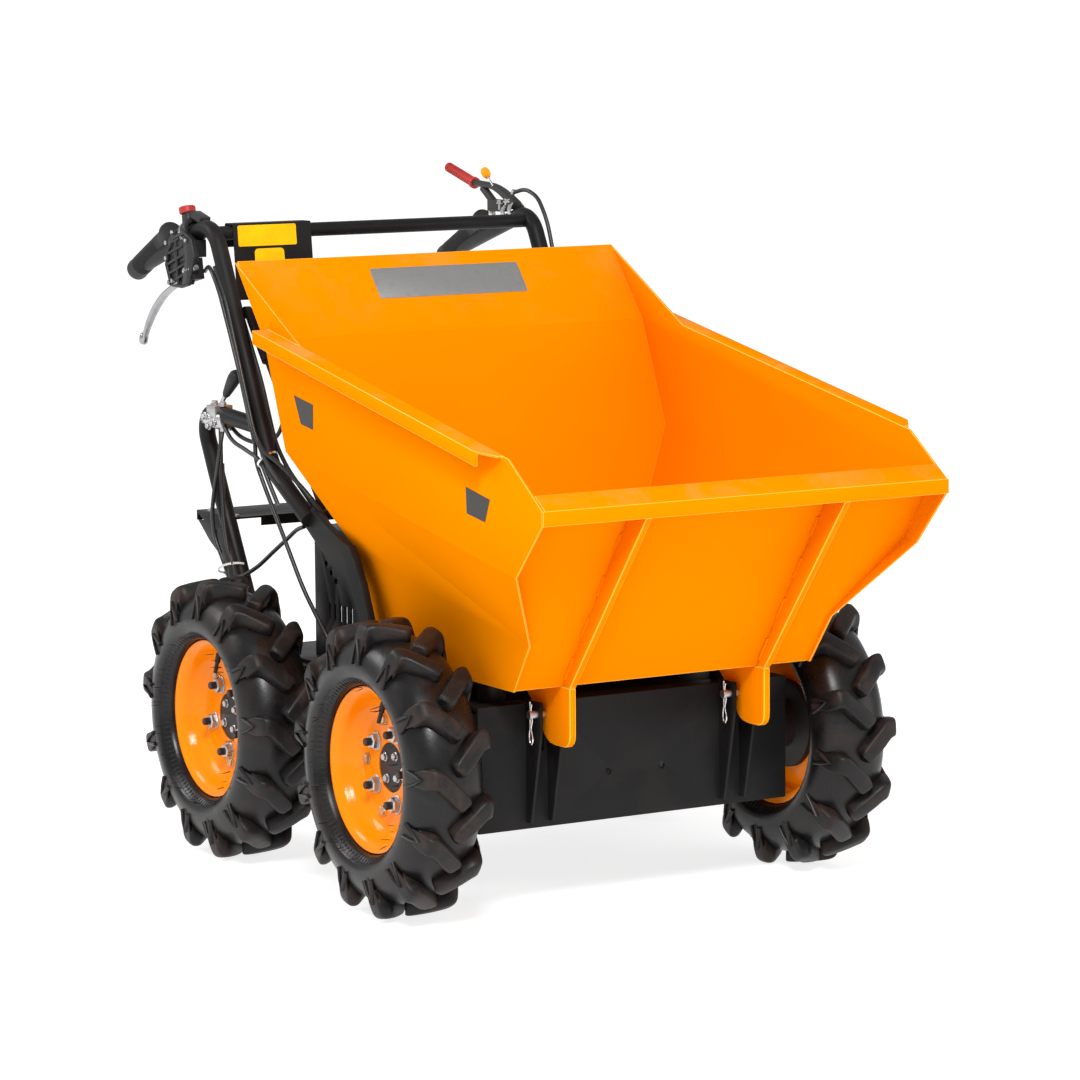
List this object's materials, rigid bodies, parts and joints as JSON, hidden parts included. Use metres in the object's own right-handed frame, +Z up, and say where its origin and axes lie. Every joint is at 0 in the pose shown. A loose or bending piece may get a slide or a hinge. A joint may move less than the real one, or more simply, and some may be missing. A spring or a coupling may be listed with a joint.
{
  "type": "site dumper",
  "caption": "Walk-behind site dumper with a folded sheet-steel tipping tray, powered wheels with lugged tyres, a tubular handle frame with levers, and a rear engine.",
  "frame": {"origin": "on the ground, under the middle of the bounding box", "axes": "+X forward, the way the tray tips; +Y to the left of a person walking behind; +Z up"},
  "size_m": [1.3018, 0.771, 0.9845],
  "materials": {
    "tray_paint": "satin orange-yellow paint on folded sheet steel",
    "rim_paint": "orange-yellow paint on pressed steel",
    "black_powder_coat": "black powder coat",
    "tyre_rubber": "black rubber with light dust",
    "dark_casting": "dark painted casting",
    "zinc_steel": "zinc-plated steel",
    "bare_alloy": "cast aluminium",
    "soft_rubber": "black moulded rubber",
    "black_plastic": "black moulded plastic",
    "red_plastic": "red moulded plastic",
    "cable_jacket": "black cable jacket"
  },
  "bodies": {
    "root": {"air_filter": "black_plastic", "axle_housing_front": "dark_casting", "axle_housing_rear": "dark_casting", "belt_guard": "black_powder_coat", "brake_lever": "bare_alloy", "chassis_beam_left": "black_powder_coat", "chassis_beam_right": "black_powder_coat", "chassis_deck": "black_powder_coat", "clutch_bracket": "black_plastic", "clutch_lever": "red_plastic", "console_plate": "black_powder_coat", "control_cables_gear": "cable_jacket", "control_cables_left": "cable_jacket", "control_cables_right": "cable_jacket", "cross_tube": "black_powder_coat", "drive_shaft": "zinc_steel", "engine_block": "bare_alloy", "fan_cover": "black_plastic", "front_plate": "black_powder_coat", "fuel_tank": "black_powder_coat", "gear_bracket": "zinc_steel", "gear_lever": "black_powder_coat", "hand_grips": "soft_rubber", "handle_arm_left": "black_powder_coat", "handle_arm_right": "black_powder_coat", "handle_tube_left": "black_powder_coat", "handle_tube_right": "black_powder_coat", "lever_perch": "black_plastic", "pivot_pins": "zinc_steel", "rear_plate": "black_powder_coat", "rear_strut_left": "black_powder_coat", "rear_strut_right": "black_powder_coat", "silencer": "zinc_steel", "stay_rod_left": "black_powder_coat", "stay_rod_right": "black_powder_coat", "stop_switch": "black_plastic", "throttle_lever": "red_plastic", "tray_buffers": "soft_rubber"},
    "tray": {"tray_back": "tray_paint", "tray_floor": "tray_paint", "tray_front": "tray_paint", "tray_rib_left": "tray_paint", "tray_rib_right": "tray_paint", "tray_side_left": "tray_paint", "tray_side_right": "tray_paint"},
    "wheel_front_right": {"hub_front_right": "dark_casting", "rim_front_right": "rim_paint", "tyre_front_right": "tyre_rubber"},
    "wheel_front_left": {"hub_front_left": "dark_casting", "rim_front_left": "rim_paint", "tyre_front_left": "tyre_rubber"},
    "wheel_rear_right": {"hub_rear_right": "dark_casting", "rim_rear_right": "rim_paint", "tyre_rear_right": "tyre_rubber"},
    "wheel_rear_left": {"hub_rear_left": "dark_casting", "rim_rear_left": "rim_paint", "tyre_rear_left": "tyre_rubber"}
  },
  "joints": [
    {"name": "wheel_front_right_spin", "type": "hinge", "parent": "root", "child": "wheel_front_right", "pos_m": [0.254, -0.3285, 0.205], "axis": [0, 1, 0], "continuous": true},
    {"name": "wheel_front_left_spin", "type": "hinge", "parent": "root", "child": "wheel_front_left", "pos_m": [0.254, 0.3285, 0.205], "axis": [0, 1, 0], "continuous": true},
    {"name": "wheel_rear_right_spin", "type": "hinge", "parent": "root", "child": "wheel_rear_right", "pos_m": [-0.236, -0.3285, 0.205], "axis": [0, 1, 0], "continuous": true},
    {"name": "wheel_rear_left_spin", "type": "hinge", "parent": "root", "child": "wheel_rear_left", "pos_m": [-0.236, 0.3285, 0.205], "axis": [0, 1, 0], "continuous": true},
    {"name": "tray_tip", "type": "hinge", "parent": "root", "child": "tray", "pos_m": [0.385, 0, 0.283], "axis": [0, 1, 0], "range_deg": [0, 70]}
  ]
}
